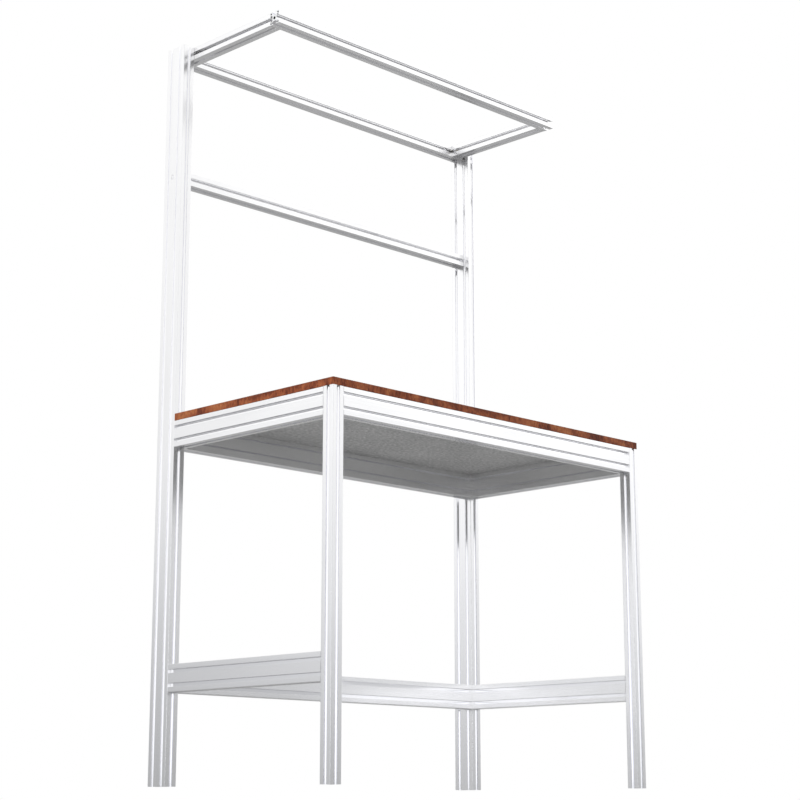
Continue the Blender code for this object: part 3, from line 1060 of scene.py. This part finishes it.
@dataclass
class Fixings:
    """Screws, bolts, nuts and plugs, of which the tabletop's screws and the plugs show."""

    steel: Finish = field(default_factory=ZincSteel)
    plastic: Finish = field(default_factory=MouldedPlastic)
    hidden: tuple[str, ...] = ("screw_pair", "screw_top_frame", "screw_middle_rail", "bolt_",
                               "slot_nut")
    shank_radius: float = 2.8 * MM
    head_height: float = 3.0 * MM
    tip_taper: float = 0.5 * MM
    socket_radius: float = 2.3 * MM
    socket_depth: float = 2.4 * MM
    socket_steps: int = 6
    rim: float = 0.25 * MM
    crown_inset: float = 1.0 * MM
    crown_depth: float = 0.35 * MM
    crown_steps: int = 8
    sides: int = 48

    def build(self) -> None:
        """Dress what is hidden, and build what shows."""
        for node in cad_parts:
            if node.startswith(self.hidden):
                dressed(node, self.steel)
            elif node.startswith("screw_tabletop"):
                self.countersunk(node)
            elif node.startswith("plug"):
                self.plug(node)

    def countersunk(self, node: str) -> Thing:
        """Build a countersunk screw with a hexagon socket.

        Args:
            node: the frame's node that it stands for.

        Returns:
            The new piece.
        """
        low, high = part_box(node)
        head, shank, length = (high.x - low.x) / 2, self.shank_radius, high.z - low.z
        profile = [(0, 0), (head - self.rim, 0), (head, -self.rim), (shank, -self.head_height),
                   (shank, -length + self.rim), (shank - self.tip_taper, -length), (0, -length)]
        screw = turned(node + "_head", profile, self.sides)
        hexagon = circle(self.socket_radius, self.socket_steps, Vector((0, 0)))
        socket = extruded("hexagon_socket", [hexagon], 2 * self.socket_depth)
        mesh = bored(screw, socket, Matrix.Identity(4))
        centre = (low + high) / 2
        place = Matrix.Translation((centre.x, centre.y, high.z))
        return placed(node + "_head", mesh, place, self.steel, node)

    def plug(self, node: str) -> Thing:
        """Build a push-in plug with a shallow crown inside a rim.

        Args:
            node: the frame's node that it stands for.

        Returns:
            The new piece.
        """
        low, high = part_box(node)
        side = hand(node)
        radius, thick = (high.y - low.y) / 2, high.x - low.x
        inner = radius - self.crown_inset
        shares = [k / self.crown_steps for k in range(self.crown_steps + 1)]
        crown = [(inner * share, -self.crown_depth * share ** 2) for share in shares]
        profile = [*crown, (inner + self.rim, 0.0), (radius - self.rim, 0.0), (radius, -self.rim),
                   (radius, -thick), (0.0, -thick)]
        mesh = turned(node + "_cap", profile, self.sides)
        centre = (low + high) / 2
        mouth = Vector((high.x if side > 0 else low.x, centre.y, centre.z))
        place = Matrix.Translation(mouth) @ Matrix.Rotation(side * QUARTER_TURN, 4, "Y")
        return placed(node + "_cap", mesh, place, self.plastic, node)


@dataclass(frozen=True)
class Lamp:
    """One soft square lamp: where it hangs, how wide it is and how much power it has."""

    name: str
    place: Triple
    size: float
    power: float


@dataclass
class Studio:
    """Plain pale floor, white background, soft light and the camera."""

    floor_half: float = 40.0
    floor_colour: Colour = (0.80, 0.80, 0.80)
    floor_pale: Colour = (0.86, 0.86, 0.86)
    floor_cloud: Pattern = Pattern((0.8, 0.8, 0.8))
    floor_cloud_share: float = 0.04
    floor_roughness: float = 0.9
    floor_fade: Span = (1.6, 7.0)
    slant_blend: float = 0.5
    # Painted shade and painted light on the floor that the metal mirrors: darker to the sides and
    # in front, glowing at a slant.
    floor_stops: Stops = ((0.55, 0.45), (0.62, 0.385), (0.78, 0.345), (1.0, 0.345))
    side_stops: Stops = ((0.64, 0.27), (0.72, 0.14), (0.80, 0.10), (0.90, 0.335))
    side_reach: Span = (0.5, 2.0)
    front_reach: Span = (0.8, 2.5)
    far_reach: Span = (1.5, 2.0)
    painted_floor_glow: float = 1.18
    glow_slant: Span = (0.85, 0.92)
    even_light: float = 0.62
    sky_stops: Stops = (
        (-0.10, 0.388), (0.00, 0.434), (0.05, 0.513), (0.09, 0.632), (0.13, 0.843), (0.16, 0.923),
        (0.185, 0.986), (0.21, 0.996), (0.267, 0.978), (0.36, 0.998), (0.45, 0.990), (1.0, 0.70))
    sky_peak: float = 1.172
    horizon_tint: Colour = (0.985, 1.0, 1.045)
    tint_top: float = 0.22
    end_slope: Stops = ((0.0, 0.46), (0.08, 0.78), (0.20, 0.84), (0.35, 0.56))
    end_most: float = 0.07
    left_lift: Span = (0.03, -0.015)
    left_lift_span: Span = (0.07, 0.17)
    panel_levels: Span = (1.16, 0.92)
    panel_heights: Span = (0.02, 0.36)
    panel_edge: Span = (0.70, 0.92)
    bounces: int = 16
    soft_lamps: tuple[Lamp, ...] = (Lamp("key_lamp", (-4.2, -1.2, 3.2), 2.4, 96.0),
                                    Lamp("fill_lamp", (3.2, 2.6, 3.0), 2.4, 45.0))
    lamp_aim: Triple = (0.0, 0.0, 0.8)
    camera_place: Triple = (-3.0158, -3.0014, -0.0492)
    camera_pitch: float = math.radians(90 + 12.442)
    camera_yaw: float = math.radians(45.03 - 90)
    camera_reach: Span = (0.1, 200.0)
    lens: float = 83.645
    sensor: float = 36.0

    def build(self) -> None:
        """Lay the floor, light the scene and set the camera, with bounces enough for deep slots."""
        cycles = bpy.context.scene.cycles
        cycles.max_bounces = cycles.glossy_bounces = self.bounces
        self.floor()
        self.world()
        self.lamps()
        self.camera()

    def floor(self) -> None:
        """Pale floor that fades to white far off, and that lets a camera below it see through."""
        shape = bmesh.new()
        bmesh.ops.create_grid(shape, x_segments=1, y_segments=1, size=self.floor_half)
        mesh = bpy.data.meshes.new("studio_floor")
        shape.to_mesh(mesh)
        shape.free()
        floor = added("studio_floor", mesh)
        mesh.materials.append(self.floor_material())

    def floor_material(self) -> bpy.types.Material:
        """Draw the floor's material.

        Returns:
            Matt floor, white light where it is far off, a grey glow with painted shade and painted
            light where the metal mirrors it, and nothing to a camera below.
        """
        made = bpy.data.materials.new("studio_floor")
        graph = Graph(made)
        cloud = graph.noise(self.floor_cloud)
        share = graph.spread(cloud, MOST_NOISE, (0.0, self.floor_cloud_share))
        graph.surface(Base_Color=graph.mixed(share, self.floor_colour, self.floor_pale),
                      Roughness=self.floor_roughness)
        place = graph.places()
        far = graph.spread(graph.length_of(place), self.floor_fade)
        rays = graph.node("LightPath").outputs
        white = graph.node("Emission", {"Strength": 1.0}).outputs[0]
        level = self.painted_floor_level(graph, place)
        # Painted shade and painted light: a grey glow that the metal mirrors in place of the lit
        # floor.
        grey = graph.node("Emission", {"Strength": level}).outputs[0]
        fading = graph.maths("MULTIPLY", far, rays["Is Camera Ray"])
        seen = graph.either(fading, graph.shader.outputs[0], white)
        mirrored = graph.either(graph.straight_off_metal(), seen, grey)
        behind = graph.node("NewGeometry").outputs["Backfacing"]
        clear = graph.node("BsdfTransparent").outputs[0]
        hidden = graph.maths("MULTIPLY", behind, rays["Is Camera Ray"])
        output = graph.tree.nodes["Material Output"].inputs["Surface"]
        graph.feed(output, graph.either(hidden, mirrored, clear))
        return made

    def painted_floor_level(self, graph: Graph, place: Socket) -> Socket:
        """Level of the floor that the metal mirrors: a glow with painted shade and painted light.

        It is a grey with painted shade, darker to both sides and in front. Where it is seen at a
        slant, it is painted brighter in front and far behind on the right.

        Args:
            graph: the floor's nodes.
            place: the place on the floor.

        Returns:
            The level at each place.
        """
        east, north = graph.node("SeparateXYZ", {0: place}).outputs[:2]
        slant = graph.node("LayerWeight", {"Blend": self.slant_blend}).outputs["Facing"]
        away = graph.maths("MULTIPLY", graph.maths("ADD", east, north), DIAGONAL)
        across = graph.maths("MULTIPLY", graph.maths("SUBTRACT", east, north), DIAGONAL)
        aside = graph.maths("SUBTRACT", graph.maths("ABSOLUTE", across), away)
        # Painted shade: the mirrored floor is darker to both sides and in front.
        level = graph.between(graph.spread(aside, self.side_reach),
                              graph.by_height(slant, self.floor_stops),
                              graph.by_height(slant, self.side_stops))
        far = graph.spread(graph.maths("MINIMUM", east, away), self.far_reach)
        front = graph.spread(graph.maths("MULTIPLY", away, -1.0), self.front_reach)
        # Painted light: the mirrored floor glows brighter in front and far behind on the right,
        # where it is seen at a slant.
        lit = graph.maths("MULTIPLY", graph.maths("MAXIMUM", far, front),
                          graph.spread(slant, self.glow_slant))
        return graph.between(lit, level, self.painted_floor_glow)

    def world(self) -> None:
        """White background, even light, and for the metal a sky with a bright panel in it."""
        world = bpy.data.worlds.new("studio_sky")
        bpy.context.scene.world = world
        graph = Graph(world)
        graph.tree.nodes.clear()
        rays = graph.node("LightPath").outputs
        plain, lit = {"Color": WHITE}, {"Color": WHITE, "Strength": self.even_light}
        white, even, sky = (graph.node("Background", inputs).outputs[0]
                            for inputs in (plain, lit, self.sky(graph)))
        light = graph.either(graph.straight_off_metal(), even, sky)
        seen = graph.maths("MAXIMUM", rays["Is Camera Ray"], rays["Is Transmission Ray"])
        graph.node("OutputWorld", {"Surface": graph.either(seen, light, white)})

    def sky(self, graph: Graph) -> dict[str, Socket]:
        """Colour and level of the sky that the metal mirrors.

        It is a cool grey near the horizon and pales upwards, is paler to the table's ends than to
        its front and back, and has a bright panel in front of the table's left corner.

        Args:
            graph: the world's nodes.

        Returns:
            The background's colour and strength in each direction.
        """
        way = graph.node("TexCoord").outputs["Generated"]
        east, north, up = graph.node("SeparateXYZ", {0: way}).outputs
        level = graph.maths("MULTIPLY", graph.by_height(up, self.sky_stops), self.sky_peak)
        ends = graph.maths("SUBTRACT", graph.maths("MULTIPLY", east, east),
                           graph.maths("MULTIPLY", north, north))
        ends = graph.maths("MINIMUM", ends, self.end_most)
        level = graph.maths("MULTIPLY_ADD", ends, graph.by_height(up, self.end_slope), level)
        left = graph.spread(up, self.left_lift_span, self.left_lift)
        level = graph.maths("MULTIPLY_ADD", graph.maths("SUBTRACT", north, east), left, level)
        toward = graph.maths("MULTIPLY", graph.maths("ADD", east, north), -DIAGONAL)
        bright = graph.spread(up, self.panel_heights, self.panel_levels)
        level = graph.between(graph.spread(toward, self.panel_edge), level, bright)
        tint = graph.mixed(graph.spread(up, (0.0, self.tint_top)), self.horizon_tint, WHITE)
        return {"Color": tint, "Strength": level}

    def lamps(self) -> None:
        """Two broad soft lamps, one off to the left and a weaker one behind on the right."""
        for soft in self.soft_lamps:
            lamp = bpy.data.lights.new(soft.name, "AREA")
            lamp.size = soft.size
            lamp.energy = soft.power
            thing = added(soft.name, lamp)
            thing.location = soft.place
            aim = Vector(self.lamp_aim) - Vector(soft.place)
            thing.rotation_euler = aim.to_track_quat("-Z", "Y").to_euler()
            thing.visible_glossy = False

    def camera(self) -> None:
        """Camera near the floor in front of the left corner, looking up at the table."""
        data = bpy.data.cameras.new("camera")
        data.lens = self.lens
        data.sensor_width = self.sensor
        data.clip_start, data.clip_end = self.camera_reach
        thing = added("camera", data)
        thing.location = self.camera_place
        thing.rotation_euler = (self.camera_pitch, 0.0, self.camera_yaw)
        bpy.context.scene.camera = thing


def main() -> None:
    """Build every sub-assembly in order, then the studio round it."""
    logging.basicConfig(level=logging.INFO, format="%(name)s: %(message)s")
    bpy.context.scene.view_settings.view_transform = "Standard"
    for part in (Profiles(), Tabletop(), Fixings(), Studio()):
        LOG.info("building %s", type(part).__name__)
        part.build()


if __name__ == "__main__":
    main()
